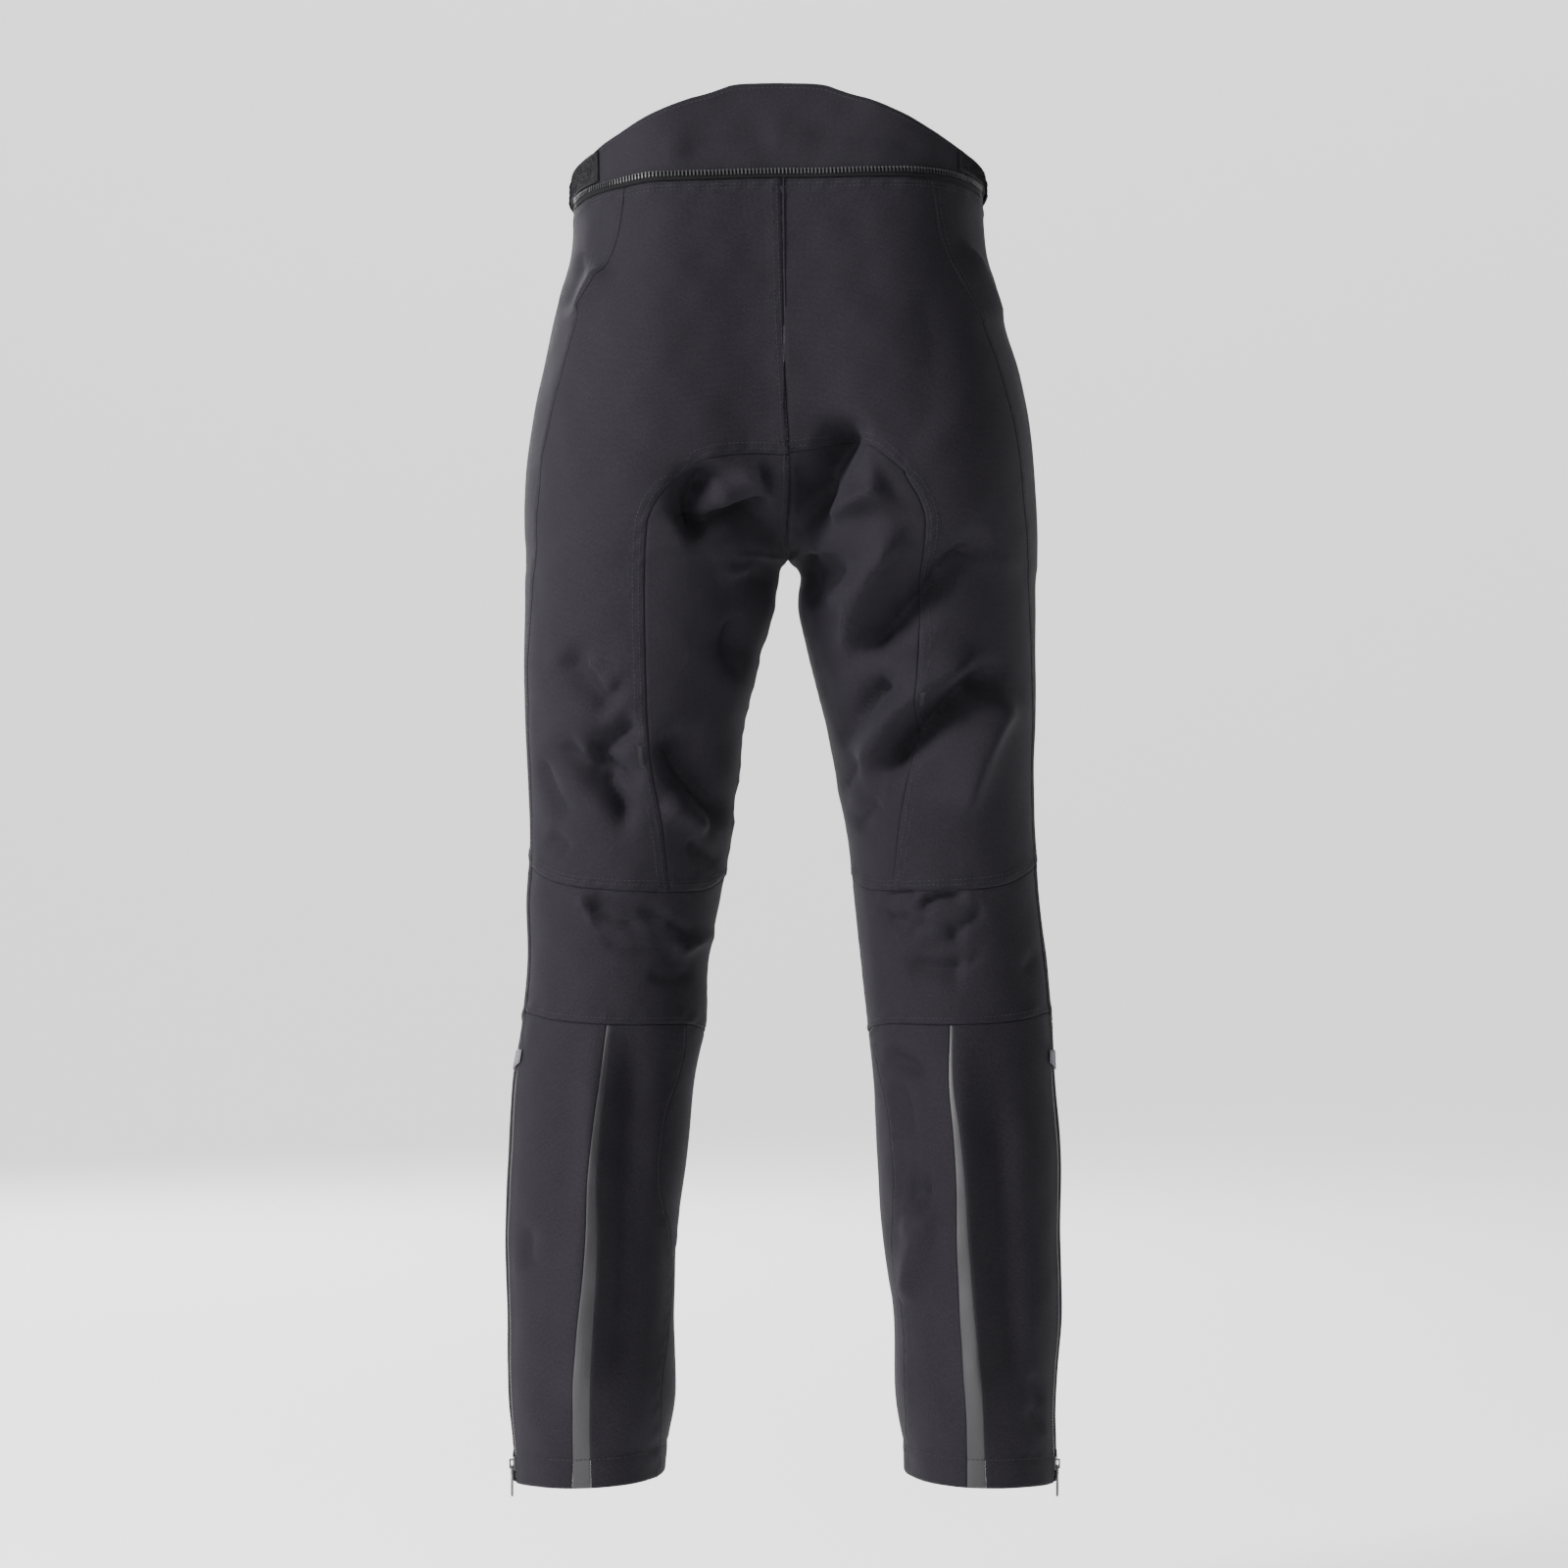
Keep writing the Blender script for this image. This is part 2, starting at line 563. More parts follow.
def newMaterial(name, **values):
    material = bpy.data.materials.new(name)
    material.use_nodes = True
    shader = material.node_tree.nodes["Principled BSDF"]
    for socket, value in values.items():
        shader.inputs[socket].default_value = value
    return material, material.node_tree, shader


def waveScale(period):
    # a Wave texture's scale for bands this many millimetres apart, on coordinates in metres
    return math.pi / (10 * period * mm)


def wovenCloth(name, dark, light, thread, roughness, sheen, bump=0.5):
    # woven polyester softshell: matt, with an even grain and a faint bloom at grazing angles.
    # Its threads are 0.3 mm, drawn here at about three times that so that they show
    material, tree, shader = newMaterial(name, **{
        "Roughness": roughness, "IOR": 1.46, "Sheen Weight": sheen, "Sheen Roughness": 0.4,
        "Sheen Tint": linear("#8e88a0"), "Specular IOR Level": 0.16,
    })
    uv = addNode(tree, "UVMap", uv_map="cloth").outputs["UV"]
    waves = [
        addNode(tree, "TexWave", {"Vector": uv, "Scale": waveScale(thread), "Distortion": 1.4, "Detail": 1.0,
                                  "Detail Scale": 2.0}, bands_direction=way).outputs["Fac"]
        for way in ("X", "Y")
    ]
    weave = addNode(tree, "Math", {0: waves[0], 1: waves[1]}, operation="MULTIPLY")
    fleck = addNode(tree, "TexNoise", {"Vector": uv, "Scale": 480.0, "Detail": 3.0, "Roughness": 0.8})
    grain = addNode(tree, "Math", {0: weave.outputs[0], 1: fleck.outputs["Fac"]}, operation="ADD")
    tone = addNode(tree, "MapRange", {"Value": grain.outputs[0], "From Min": 0.5, "From Max": 1.02})
    mixed = addNode(tree, "MixRGB", {"Fac": tone.outputs[0], "Color1": linear(dark), "Color2": linear(light)})
    cloud = addNode(tree, "TexNoise", {"Vector": uv, "Scale": 20.0, "Detail": 3.0})
    shade = addNode(tree, "MapRange", {"Value": cloud.outputs["Fac"], "To Min": 0.85, "To Max": 1.15})
    cloudy = addNode(tree, "MixRGB", {"Fac": 1.0, "Color1": mixed.outputs[0], "Color2": shade.outputs[0]},
                     blend_type="MULTIPLY")
    tree.links.new(cloudy.outputs[0], shader.inputs["Base Color"])
    raised = addNode(tree, "Bump", {"Height": grain.outputs[0], "Strength": bump, "Distance": 0.3 * mm})
    tree.links.new(raised.outputs[0], shader.inputs["Normal"])
    return material


def grainedFinish(name, dark, light, grain, roughness, bump, texture="TexNoise", place=None, **sockets):
    # a finish with two close tones and a fine relief, both from one pattern of this grain in millimetres
    material, tree, shader = newMaterial(name, Roughness=roughness, **sockets)
    if place:
        where = addNode(tree, "UVMap", uv_map=place).outputs["UV"]
    else:
        where = addNode(tree, "TexCoord").outputs["Object"]
    pattern = addNode(tree, texture, {"Vector": where, "Scale": 1 / (grain * mm)})
    value = pattern.outputs["Distance" if texture == "TexVoronoi" else "Fac"]
    smudge = addNode(tree, "TexNoise", {"Vector": where, "Scale": 55.0, "Detail": 3.0})
    both = addNode(tree, "Math", {0: value, 1: smudge.outputs["Fac"]}, operation="ADD")
    tone = addNode(tree, "MapRange", {"Value": both.outputs[0], "From Min": 0.6, "From Max": 1.35})
    mixed = addNode(tree, "MixRGB", {"Fac": tone.outputs[0], "Color1": linear(dark), "Color2": linear(light)})
    tree.links.new(mixed.outputs[0], shader.inputs["Base Color"])
    uneven = addNode(tree, "MapRange", {"Value": smudge.outputs["Fac"], "To Min": roughness - 0.1,
                                        "To Max": roughness + 0.1})
    tree.links.new(uneven.outputs[0], shader.inputs["Roughness"])
    raised = addNode(tree, "Bump", {"Height": value, "Strength": bump, "Distance": grain * 0.3 * mm})
    tree.links.new(raised.outputs[0], shader.inputs["Normal"])
    return material


materials = dict(
    shell=wovenCloth("wovenSoftshell", "#09080b", "#211e25", 0.9, 0.8, 0.05),
    band=wovenCloth("wovenBandCloth", "#0c0b0e", "#211e25", 0.7, 0.78, 0.06),
    tape=wovenCloth("wovenZipTape", "#050506", "#0f0f11", 0.8, 0.8, 0.03),
    tab=wovenCloth("greyWovenTab", "#4a484d", "#727077", 0.8, 0.65, 0.2),
    # brushed nylon loops of a hook-and-loop fastener: black fuzz that swallows light
    loops=grainedFinish("brushedNylonLoops", "#040405", "#161518", 1.3, 0.9, 0.9, **{
        "Sheen Weight": 0.12, "Sheen Roughness": 0.6, "Sheen Tint": linear("#77747c"),
        "Specular IOR Level": 0.2}),
    # glass-bead tape: mid grey and satin, with a bead grain drawn about ten times its size so that it shows
    reflective=grainedFinish("glassBeadTape", "#111014", "#1b1a1e", 0.8, 0.55, 0.3, "TexVoronoi", "cloth"),
    # moulded acetal: black and smooth, with faint flow marks
    plastic=grainedFinish("mouldedAcetal", "#101012", "#242427", 2.5, 0.48, 0.15, IOR=1.48),
    # die-cast zinc under black enamel, a little uneven
    zinc=grainedFinish("enamelledZinc", "#0e0e10", "#29292c", 2.0, 0.34, 0.15, **{
        "Coat Weight": 0.3, "Coat Roughness": 0.2}),
    # twisted polyester thread: near black, a little brighter than the cloth
    thread=grainedFinish("polyesterThread", "#0f0e11", "#29282c", 0.6, 0.7, 0.4, **{"Specular IOR Level": 0.2}),
)
print("materials made")


def link(name, bm, material):
    mesh = bpy.data.meshes.new(name)
    bm.to_mesh(mesh)
    bm.free()
    mesh.materials.append(material)
    mesh.shade_smooth()
    obj = bpy.data.objects.new(name, mesh)
    bpy.context.scene.collection.objects.link(obj)
    return obj


def belong(obj, body="trousers", replaces=()):
    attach(obj, body)
    if replaces:
        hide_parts(*replaces)
    return obj


def lengthsOf(line):
    return np.concatenate([[0], np.cumsum(np.linalg.norm(np.diff(line, axis=0), axis=1))])


def valuesAt(places, lengths, values):
    # points or normals at these lengths along a line
    return np.stack([np.interp(places, lengths, values[:, axis]) for axis in range(3)], axis=-1)


def acrossBlocks(blocks):
    # blocks side by side, with the column that two of them share taken once
    return np.concatenate([block[:, 1 if n else 0:] for n, block in enumerate(blocks)], axis=1)


def blockSurface(blocks):
    points, normals = zip(*(surface(side, rows, cols) for side, rows, cols in blocks))
    return acrossBlocks(points), acrossBlocks(normals)


def gridOn(points, notch=None):
    # a grid from the operator, its vertices moved onto rows and columns of points, with UVs in metres
    down, across = points.shape[:2]
    bm = bmesh.new()
    bmesh.ops.create_grid(bm, x_segments=across - 1, y_segments=down - 1, size=1.0)
    downLength, acrossLength = (
        np.insert(np.cumsum(np.linalg.norm(np.diff(points, axis=axis), axis=-1), axis=axis), 0, 0, axis=axis)
        for axis in (0, 1)
    )
    acrossLength = acrossLength - acrossLength[:, across // 2][:, None]
    layer = bm.loops.layers.uv.new("cloth")
    inNotch = []
    for vert in bm.verts:
        r = round((1 - vert.co.y) / 2 * (down - 1))
        c = round((vert.co.x + 1) / 2 * (across - 1))
        for loop in vert.link_loops:
            loop[layer].uv = (acrossLength[r, c] * mm, -downLength[r, c] * mm)
        vert.co = Vector(points[r, c]) * mm
        inNotch.append(notch is not None and r >= notch[0] and c >= notch[1])
    if notch is not None:
        bm.verts.index_update()
        gone = [face for face in bm.faces if all(inNotch[vert.index] for vert in face.verts)]
        bmesh.ops.delete(bm, geom=gone, context="FACES")
        bmesh.ops.delete(bm, geom=[vert for vert in bm.verts if not vert.link_faces], context="VERTS")
    return bm


def faceOut(bm, points, normals):
    # turns the sheet so that its faces look the way the form does
    bm.faces.ensure_lookup_table()
    bm.normal_update()
    tree = KDTree(points[::3, ::3].size // 3)
    for n, place in enumerate(points[::3, ::3].reshape(-1, 3)):
        tree.insert(place * mm, n)
    tree.balance()
    outward = normals[::3, ::3].reshape(-1, 3)
    agree = 0.0
    for face in list(bm.faces)[::7]:
        agree += face.normal.dot(Vector(outward[tree.find(face.calc_center_median())[1]])) * face.calc_area()
    if agree < 0:
        bmesh.ops.reverse_faces(bm, faces=bm.faces)


skinVerts, skinFaces = [], []


def keepSkin(bm):
    # the outer face of all cloth together, which stitches and trim are laid on
    start = len(skinVerts)
    bm.verts.index_update()
    skinVerts.extend(vert.co.copy() for vert in bm.verts)
    skinFaces.extend([start + vert.index for vert in face.verts] for face in bm.faces)


def clothPiece(name, points, normals, material, wall, replaces, laid=True, inSkin=False, notch=None):
    # a sheet with a wall inwards from these points, or outwards where it is laid on other cloth
    bm = gridOn(points, notch)
    faceOut(bm, points, normals)
    if inSkin:
        keepSkin(bm)
    area = sum(face.calc_area() for face in bm.faces)
    obj = link(name, bm, materials[material])
    thick = obj.modifiers.new("wall", "SOLIDIFY")
    thick.thickness = wall * mm
    thick.offset = 1.0 if laid else -1.0
    belong(obj, replaces=replaces)
    return area


# Cloth panels. Every panel takes its rows and columns from the same lists, so that edges meet
clothBuild = dict(perRow=5, perColumn=5, wall=1.8, halfGap=0.02, clear=0.7, edgeSteps=(0.05, 0.12, 0.22, 0.38, 0.6))
seamRows = (row["top"], row["waist"], row["fork"], row["knee"], row["calf"], row["hem"])
seamColumns = tuple(column.values())


def stationList(end, each, seams):
    # even places, with closer ones beside each seam
    clear, steps = clothBuild["clear"], (0.0, *clothBuild["edgeSteps"])
    even = [place for place in np.linspace(0, end, end * each + 1) if all(abs(place - at) > clear for at in seams)]
    near = [at + way * step for at in seams for way in (-1, 1) for step in steps]
    return np.unique(np.round([*even, *(place for place in near if 0 <= place <= end)], 4))


allRows = stationList(row["hem"], clothBuild["perRow"], seamRows)
allColumns = stationList(column["end"], clothBuild["perColumn"], seamColumns)


def between(places, start, end):
    return places[(places >= start - 1e-6) & (places <= end + 1e-6)]


# Seams: a groove where two pieces meet, and the allowance felled under one of them. Kinds give shares of both
seam = dict(grooveDepth=0.7, grooveWidth=0.9, fellHeight=0.45, fellWidth=10.5, fellRise=2.5, puckerHeight=0.32,
            puckerRise=4.0, pucker=15.0, puckerSway=31.0, besideHeight=0.14, besideAt=6.0, besideWidth=5.0)
seamKinds = dict(plain=(1.0, 0.0), felled=(1.0, 1.0), pressed=(0.35, 0.0), pressedFell=(0.35, 0.45))
hem = dict(height=23.5, thickness=0.6, rise=2.0, dip=0.6, dipWidth=1.5, waver=0.25, waverWidth=9.0)
foldedEdge = dict(drop=0.8, dropWidth=1.0, roll=0.35, rollAt=2.8, rollWidth=2.2)


def denseLine(line, step):
    lengths = lengthsOf(line)
    return valuesAt(np.arange(0, lengths[-1] + step, step), lengths, line)


def edgeOf(points, edge, notch):
    r, c = notch or (None, None)
    if edge == "notch":
        return np.concatenate([points[r, c:][::-1], points[r:, c]])
    lines = dict(top=points[0], bottom=points[-1, : c + 1 if notch else None], start=points[:, 0])
    lines["end"] = points[: r + 1 if notch else None, -1]
    return lines[edge]


def hump(distance, at, width):
    return np.exp(-(((distance - at) / width) ** 2))


def seamRelief(points, edges, notch):
    moved = np.zeros(points.shape[:2])
    flat = points.reshape(-1, 3)
    along = points[..., 0] + points[..., 2]
    pucker = np.sin(along * 2 * math.pi / seam["pucker"] + 2.0 * np.sin(along / seam["puckerSway"]))
    for edge, kind in edges.items():
        line = denseLine(edgeOf(points, edge, notch), 1.0)
        tree = KDTree(len(line))
        for n, place in enumerate(line):
            tree.insert(place, n)
        tree.balance()
        distance = np.array([tree.find(point)[2] for point in flat]).reshape(moved.shape)
        groove, fell = seamKinds.get(kind, (0, 0))
        moved -= groove * seam["grooveDepth"] * hump(distance, 0, seam["grooveWidth"])
        moved += groove * seam["besideHeight"] * pucker * hump(distance, seam["besideAt"], seam["besideWidth"])
        raised = fell * ease((seam["fellWidth"] - distance) / seam["fellRise"])
        moved += raised * (seam["fellHeight"] + seam["puckerHeight"] * pucker * ease(distance / seam["puckerRise"]))
        if kind == "hem":
            moved += hem["thickness"] * ease((hem["height"] - distance) / hem["rise"])
            moved -= hem["dip"] * hump(distance, hem["height"], hem["dipWidth"])
            moved += hem["waver"] * pucker * hump(distance, hem["height"], hem["waverWidth"])
        if kind in ("fold", "hem"):
            moved -= foldedEdge["drop"] * hump(distance, 0, foldedEdge["dropWidth"])
        if kind == "fold":
            moved += foldedEdge["roll"] * hump(distance, foldedEdge["rollAt"], foldedEdge["rollWidth"])
    return moved


def drawnIn(points, notch):
    # every edge of a panel drawn in by half the seam's gap
    points = points.copy()
    edges = [(np.s_[0], np.s_[1]), (np.s_[-1], np.s_[-2])]
    edges += [(np.s_[:, 0], np.s_[:, 1]), (np.s_[:, -1], np.s_[:, -2])]
    if notch:
        r, c = notch
        edges += [(np.s_[r, c:], np.s_[r - 1, c:]), (np.s_[r:, c], np.s_[r:, c - 1])]
    for edge, inner in edges:
        points[edge] += unit(points[inner] - points[edge]) * clothBuild["halfGap"]
    return points


# The cut: a panel's rows and columns, from one named line to another, what each of its edges is, and its
# flat width and length. An edge called centre is felled on the left panel and plain on the right one
Cut = namedtuple("Cut", "name rows columns top start end notch bottom flat")
bandCuts = (
    Cut("waistband_back", "top waist", "band end", "fold", "plain", "plain", None, "plain", (500, 95)),
    Cut("waistband_front", "top waist", "front band", "fold", "plain", "plain", None, "plain", (320, 66)),
)
legCuts = (
    Cut("back_panel", "waist knee", "side end", "felled", "pressed", "centre", "felled", "felled", (270, 590)),
    Cut("front_panel", "waist knee", "front side", "felled", "centre", "pressedFell", None, "felled", (390, 600)),
    Cut("seat_insert", "fork knee", "seam end", "plain", "plain", "centre", None, "felled", (240, 430)),
    Cut("knee_back", "knee calf", "side end", "plain", "plain", "plain", None, "felled", (260, 140)),
    Cut("knee_front", "knee calf", "front side", "plain", "plain", "felled", None, "felled", (280, 170)),
    Cut("calf_outer", "calf hem", "side strip", "plain", "fold", "pressed", None, "hem", (120, 385)),
    Cut("reflective_strip", "calf hem", "strip stripEnd", "plain", "pressed", "pressed", None, "hem", (17, 378)),
    Cut("calf_inner", "calf hem", "stripEnd seam", "plain", "pressed", "felled", None, "hem", (85, 382)),
    Cut("shin_panel", "calf hem", "seam end front side", "plain", "plain", "fold", None, "hem", (320, 385)),
)
clothOf = dict(waistband=("band", "band_cloth"), reflective=("reflective", "reflective_tape"))


def cutBlocks(cut, side):
    # a panel's blocks of rows and columns, one for each pair of named columns
    rows = between(allRows, *(row[name] for name in cut.rows.split()))
    names = cut.columns.split()
    blocks = []
    for start, end in zip(names[::2], names[1::2]):
        way = 1 if column[start] >= column["side"] else -1
        cols = between(allColumns, column[start], column[end])
        blocks.append((side, rows, besideZip(side, rows, cols, way)))
    return blocks


def sewPanel(name, cut, blocks):
    side, rows, cols = blocks[0]
    centre = "felled" if side == "left" else "plain"
    edges = {edge: getattr(cut, edge) for edge in ("top", "start", "end", "notch", "bottom")}
    edges = {edge: centre if kind == "centre" else kind for edge, kind in edges.items() if kind}
    notch = None
    if cut.notch:
        notch = (int(np.argmin(np.abs(rows - row["fork"]))), int(np.argmin(np.abs(cols[0] - column["seam"]))))
    points, normals = blockSurface(blocks)
    points = drawnIn(points + normals * seamRelief(points, edges, notch)[..., None], notch)
    if len(blocks) == 1:
        # halves that meet at the centre keep to the middle plane down to the crotch
        middle = (cols < 1e-6) | (cols > column["end"] - 1e-6)
        middle &= (rows <= row["crotch"] + 1e-6)[:, None]
        points[middle, 0] = sides[side] * clothBuild["halfGap"]
    cloth, slot = clothOf.get(cut.name.split("_")[0], ("shell", "shell_cloth"))
    area = clothPiece(name, points, normals, cloth, clothBuild["wall"], (name,), False, True, notch)
    print(f"{name}: {area:.4f} of {cut.flat[0] * cut.flat[1] / 1e6:.4f} m2")


def sewAll():
    back, front = bandCuts
    left, right = cutBlocks(back, "left")[0], cutBlocks(back, "right")[0]
    sewPanel(back.name, back, [left, ("right", right[1], right[2][:, ::-1])])
    for side in sides:
        sewPanel(f"{front.name}_{side}", front, cutBlocks(front, side))
    for side in sides:
        for cut in legCuts:
            sewPanel(f"{cut.name}_{side}", cut, cutBlocks(cut, side))


sewAll()
skin = BVHTree.FromPolygons(skinVerts, skinFaces)
skinReach = 30.0
print("cloth sewn:", len(skinFaces), "cells")


def onSkin(place, normal):
    # the nearest point of the cloth's outer face, and its normal there
    found = skin.find_nearest(Vector(place) * mm, skinReach * mm)
    if found[0] is None:
        return Vector(place), Vector(normal)
    out = found[1] if found[1].dot(Vector(normal)) > 0 else -found[1]
    return found[0] / mm, out


def layTrim(trim, blocks):
    # cloth laid on the panels and thickened outwards, thinner at its folded edges
    points, normals = blockSurface(blocks)
    points = points + normals * (trim.lift + trimRim(points))[..., None]
    clothPiece(trim.name, points, normals, trim.cloth, trim.wall, (trim.name,))
    return points, normals


trimRimShare = 0.5


def trimRim(points):
    edges = dict(top="fold", bottom="fold", start="fold", end="fold")
    return trimRimShare * seamRelief(points, edges, None)


# Stitches: lockstitch in thick thread, each a small spindle lying on the cloth
stitch = dict(length=3.0, gap=0.6, halfWidth=0.36, halfHeight=0.26, sink=0.05, proud=0.45, around=6, along=3,
              besideZip=2.4, zipRows=(35.9, 49.0))
Sewn = namedtuple("Sewn", "name sides path offsets")
# Paths run through (row, column) corners. A positive offset is towards the centre back on a path that runs
# down, up on one that runs towards the centre back, and down on one that runs away from it
sewnLines = (
    Sewn("waistband_edge", "both", ((0, 0.1), (0, 24)), (-3.8,)),
    Sewn("below_waist", "both", ((3, 0.1), (3, 24)), (-4.6, -7.6)),
    Sewn("centre_back", "left", ((3.1, 24), (17.6, 24)), (-1.6, -5.6)),
    Sewn("centre_front", "left", ((10, 0), (17.6, 0)), (1.6, 5.6)),
    Sewn("fly", "left", ((3.2, 1.45), (7.6, 1.45), (9.3, 1.1), (10.2, 0.2)), (0, 4)),
    Sewn("side_seam", "both", ((3.2, 10), (35.1, 10)), (-1.8, -6.4)),
    Sewn("insert", "both", ((12, 24), (12, 18.9), (12.15, 18.3), (12.6, 18), (29, 18)), (-4.2, -9.0)),
    Sewn("knee_top", "both", ((29, 0), (29, 24)), (5.4, 8.8)),
    Sewn("knee_bottom", "both", ((34, 0), (34, 24)), (5.0,)),
    Sewn("inner_calf", "both", ((34.1, 18), (49, 18)), (-1.8,)),
    Sewn("hem_front", "both", ((49, 0), (49, 9.8)), (22.6,)),
    Sewn("hem_back", "both", ((49, 10.2), (49, 24)), (22.6,)),
)


def sewnPath(side, path, step):
    # points and normals of the form's surface along a path of rows and columns
    corners = np.array(path, float)
    along = np.linspace(0, len(corners) - 1, 60 * (len(corners) - 1) + 1)
    rows = np.interp(along, range(len(corners)), corners[:, 0])
    cols = np.interp(along, range(len(corners)), corners[:, 1])
    points, normals = surface(side, rows, cols[:, None])
    line, lengths = denseLine(points[:, 0], step), lengthsOf(points[:, 0])
    places = np.minimum(np.arange(len(line)) * step, lengths[-1])
    return line, unit(valuesAt(places, lengths, normals[:, 0]))


def placedFrame(point, ahead, normal, lift=0.0):
    # X along the path, Y across it, Z out of the cloth
    along = (ahead - normal * ahead.dot(normal)).normalized()
    turned = Matrix((along, normal.cross(along), normal)).transposed().to_4x4()
    return Matrix.Translation((point + normal * lift) * mm) @ turned


def framesAlong(line, out, pitch, lift=0.0):
    # evenly spaced frames on the cloth's outer face
    lengths = lengthsOf(line)
    count = int(lengths[-1] / pitch)
    frames = []
    for n in range(count):
        place = (n + 0.5) * lengths[-1] / count
        ends = np.clip((place - pitch / 2, place + pitch / 2), 0, lengths[-1])
        behind, ahead = valuesAt(ends, lengths, line)
        point, normal = onSkin(valuesAt(place, lengths, line), valuesAt(place, lengths, out))
        frames.append(placedFrame(point, Vector(ahead - behind), normal, lift))
    return frames


def framesOn(line, out, lift):
    # frames a stitch apart along a line that already lies where it should
    lengths = lengthsOf(line)
    count = max(1, int(lengths[-1] / (stitch["length"] + stitch["gap"])))
    frames = []
    for n in range(count):
        place = (n + 0.5) * lengths[-1] / count
        at, ahead = valuesAt(np.array((place, min(place + 1, lengths[-1]))), lengths, line)
        normal = Vector(valuesAt(place, lengths, out)).normalized()
        frames.append(placedFrame(Vector(at), Vector(ahead) - Vector(at), normal, lift))
    return frames


def scaled(x, y, z):
    return Matrix.Diagonal((x * mm, y * mm, z * mm, 1))


def addEach(bm, frames, make):
    # small shapes are made a hundred at a time and then joined, which is quicker than in one big mesh
    for start in range(0, len(frames), 100):
        few = bmesh.new()
        for place in frames[start:start + 100]:
            make(few, place)
        mesh = bpy.data.meshes.new("few")
        few.to_mesh(mesh)
        few.free()
        bm.from_mesh(mesh)
        bpy.data.meshes.remove(mesh)


def stitchShape(bm, place):
    size = scaled(stitch["length"] / 2, stitch["halfWidth"], stitch["halfHeight"])
    lift = Matrix.Translation((0, 0, (stitch["halfHeight"] * stitch["proud"] - stitch["sink"]) * mm))
    upright = Matrix.Rotation(math.radians(90), 4, "Y")
    bmesh.ops.create_uvsphere(bm, u_segments=stitch["around"], v_segments=stitch["along"], radius=1.0,
                              matrix=place @ lift @ size @ upright)


def stitchRound(name, points, normals, lift, material):
    # a row of stitches just inside each edge of a laid piece
    bm = bmesh.new()
    for at in (np.s_[1], np.s_[-2], np.s_[:, 1], np.s_[:, -2]):
        addEach(bm, framesOn(points[at], normals[at], lift), stitchShape)
    belong(link(f"stitches_{name}", bm, materials[material]))


def bevelledBox(bm, matrix):
    made = bmesh.ops.create_cube(bm, size=1.0, matrix=matrix)
    edges = list({edge for vert in made["verts"] for edge in vert.link_edges})
    bmesh.ops.bevel(bm, geom=edges, offset=toothEdge * mm, affect="EDGES", segments=1, profile=0.5, material=-1)


def offsetLine(line, out, side, offset):
    along = np.gradient(line, axis=0)
    across = unit(np.cross(out, unit(along))) * sides[side]
    return line + across * offset


def sewStitches():
    total = 0
    pitch = stitch["length"] + stitch["gap"]
    for sewn in sewnLines:
        bm = bmesh.new()
        for side in sides if sewn.sides == "both" else (sewn.sides,):
            line, out = sewnPath(side, sewn.path, 2.0)
            for offset in sewn.offsets:
                frames = framesAlong(offsetLine(line, out, side, offset), out, pitch)
                addEach(bm, frames, stitchShape)
                total += len(frames)
        belong(link(f"stitches_{sewn.name}", bm, materials["thread"]))
    for way, name in ((1, "zip_back"), (-1, "zip_front")):
        bm = bmesh.new()
        for side in sides:
            rows = np.linspace(*stitch["zipRows"], 200)
            points, normals = surface(side, rows, besideZip(side, rows, [column["side"]], way))
            line, out = offsetLine(points[:, 0], normals[:, 0], side, stitch["besideZip"] * way), normals[:, 0]
            frames = framesAlong(line, out, pitch)
            addEach(bm, frames, stitchShape)
            total += len(frames)
        belong(link(f"stitches_{name}", bm, materials["thread"]))
    print("stitches:", total)


sewStitches()

# Bartacks: dense cross stitches at the inner thigh seams
bartack = dict(rows=dict(left=24.6, right=22.6), span=0.7, column=18, offset=-6.6, width=4.8, pitch=0.75,
               lift=0.1, slant=82)


def sewBartacks():
    bm = bmesh.new()
    crosswise = Matrix.Rotation(math.radians(bartack["slant"]), 4, "Z")
    wide = Matrix.Diagonal((bartack["width"] / stitch["length"], 1, 1, 1))
    for side in sides:
        at = bartack["rows"][side]
        path = ((at, bartack["column"]), (at + bartack["span"], bartack["column"]))
        line, out = sewnPath(side, path, 1.0)
        run = offsetLine(line, out, side, bartack["offset"])
        frames = framesAlong(run, out, bartack["pitch"], bartack["lift"])
        addEach(bm, [place @ crosswise @ wide for place in frames], stitchShape)
    belong(link("bartacks", bm, materials["thread"]))


sewBartacks()

# Connection zip: half a moulded zip, its tape sewn into the waist seam and its teeth pointing up
waistZip = dict(startColumn=8.2, tapeLow=-0.4, tapeHigh=5.2, lift=0.5, wall=0.9, pitch=2.9, toothWidth=1.35,
                toothHeight=4.3, toothDepth=2.3, toothBase=2.3, toothOut=1.5, stemShare=0.8, headUp=1.2,
                headWidth=1.5, headHeight=1.4)
toothEdge = 0.3


def bandOffsetRows(side, cols, heights):
    # rows that lie this far above the waist seam, column by column
    step = 0.6
    rows = np.array([row["waist"] - step, row["waist"]])
    points, _ = surface(side, rows, everyRow(rows, cols))
    perRow = (points[0, :, 2] - points[1, :, 2]) / step
    return [row["waist"] - np.asarray(height) / perRow for height in heights]


def laidStrip(cols, heights):
    # a strip round the back between heights above the waist seam: its points for each height and column
    made = []
    for side in sides:
        lines = [surface(side, rows, cols[:, None]) for rows in bandOffsetRows(side, cols, heights)]
        made.append([np.stack([line[kind][:, 0] for line in lines]) for kind in (0, 1)])
    return [acrossBlocks([left, right[:, ::-1]]) for left, right in zip(*made)]


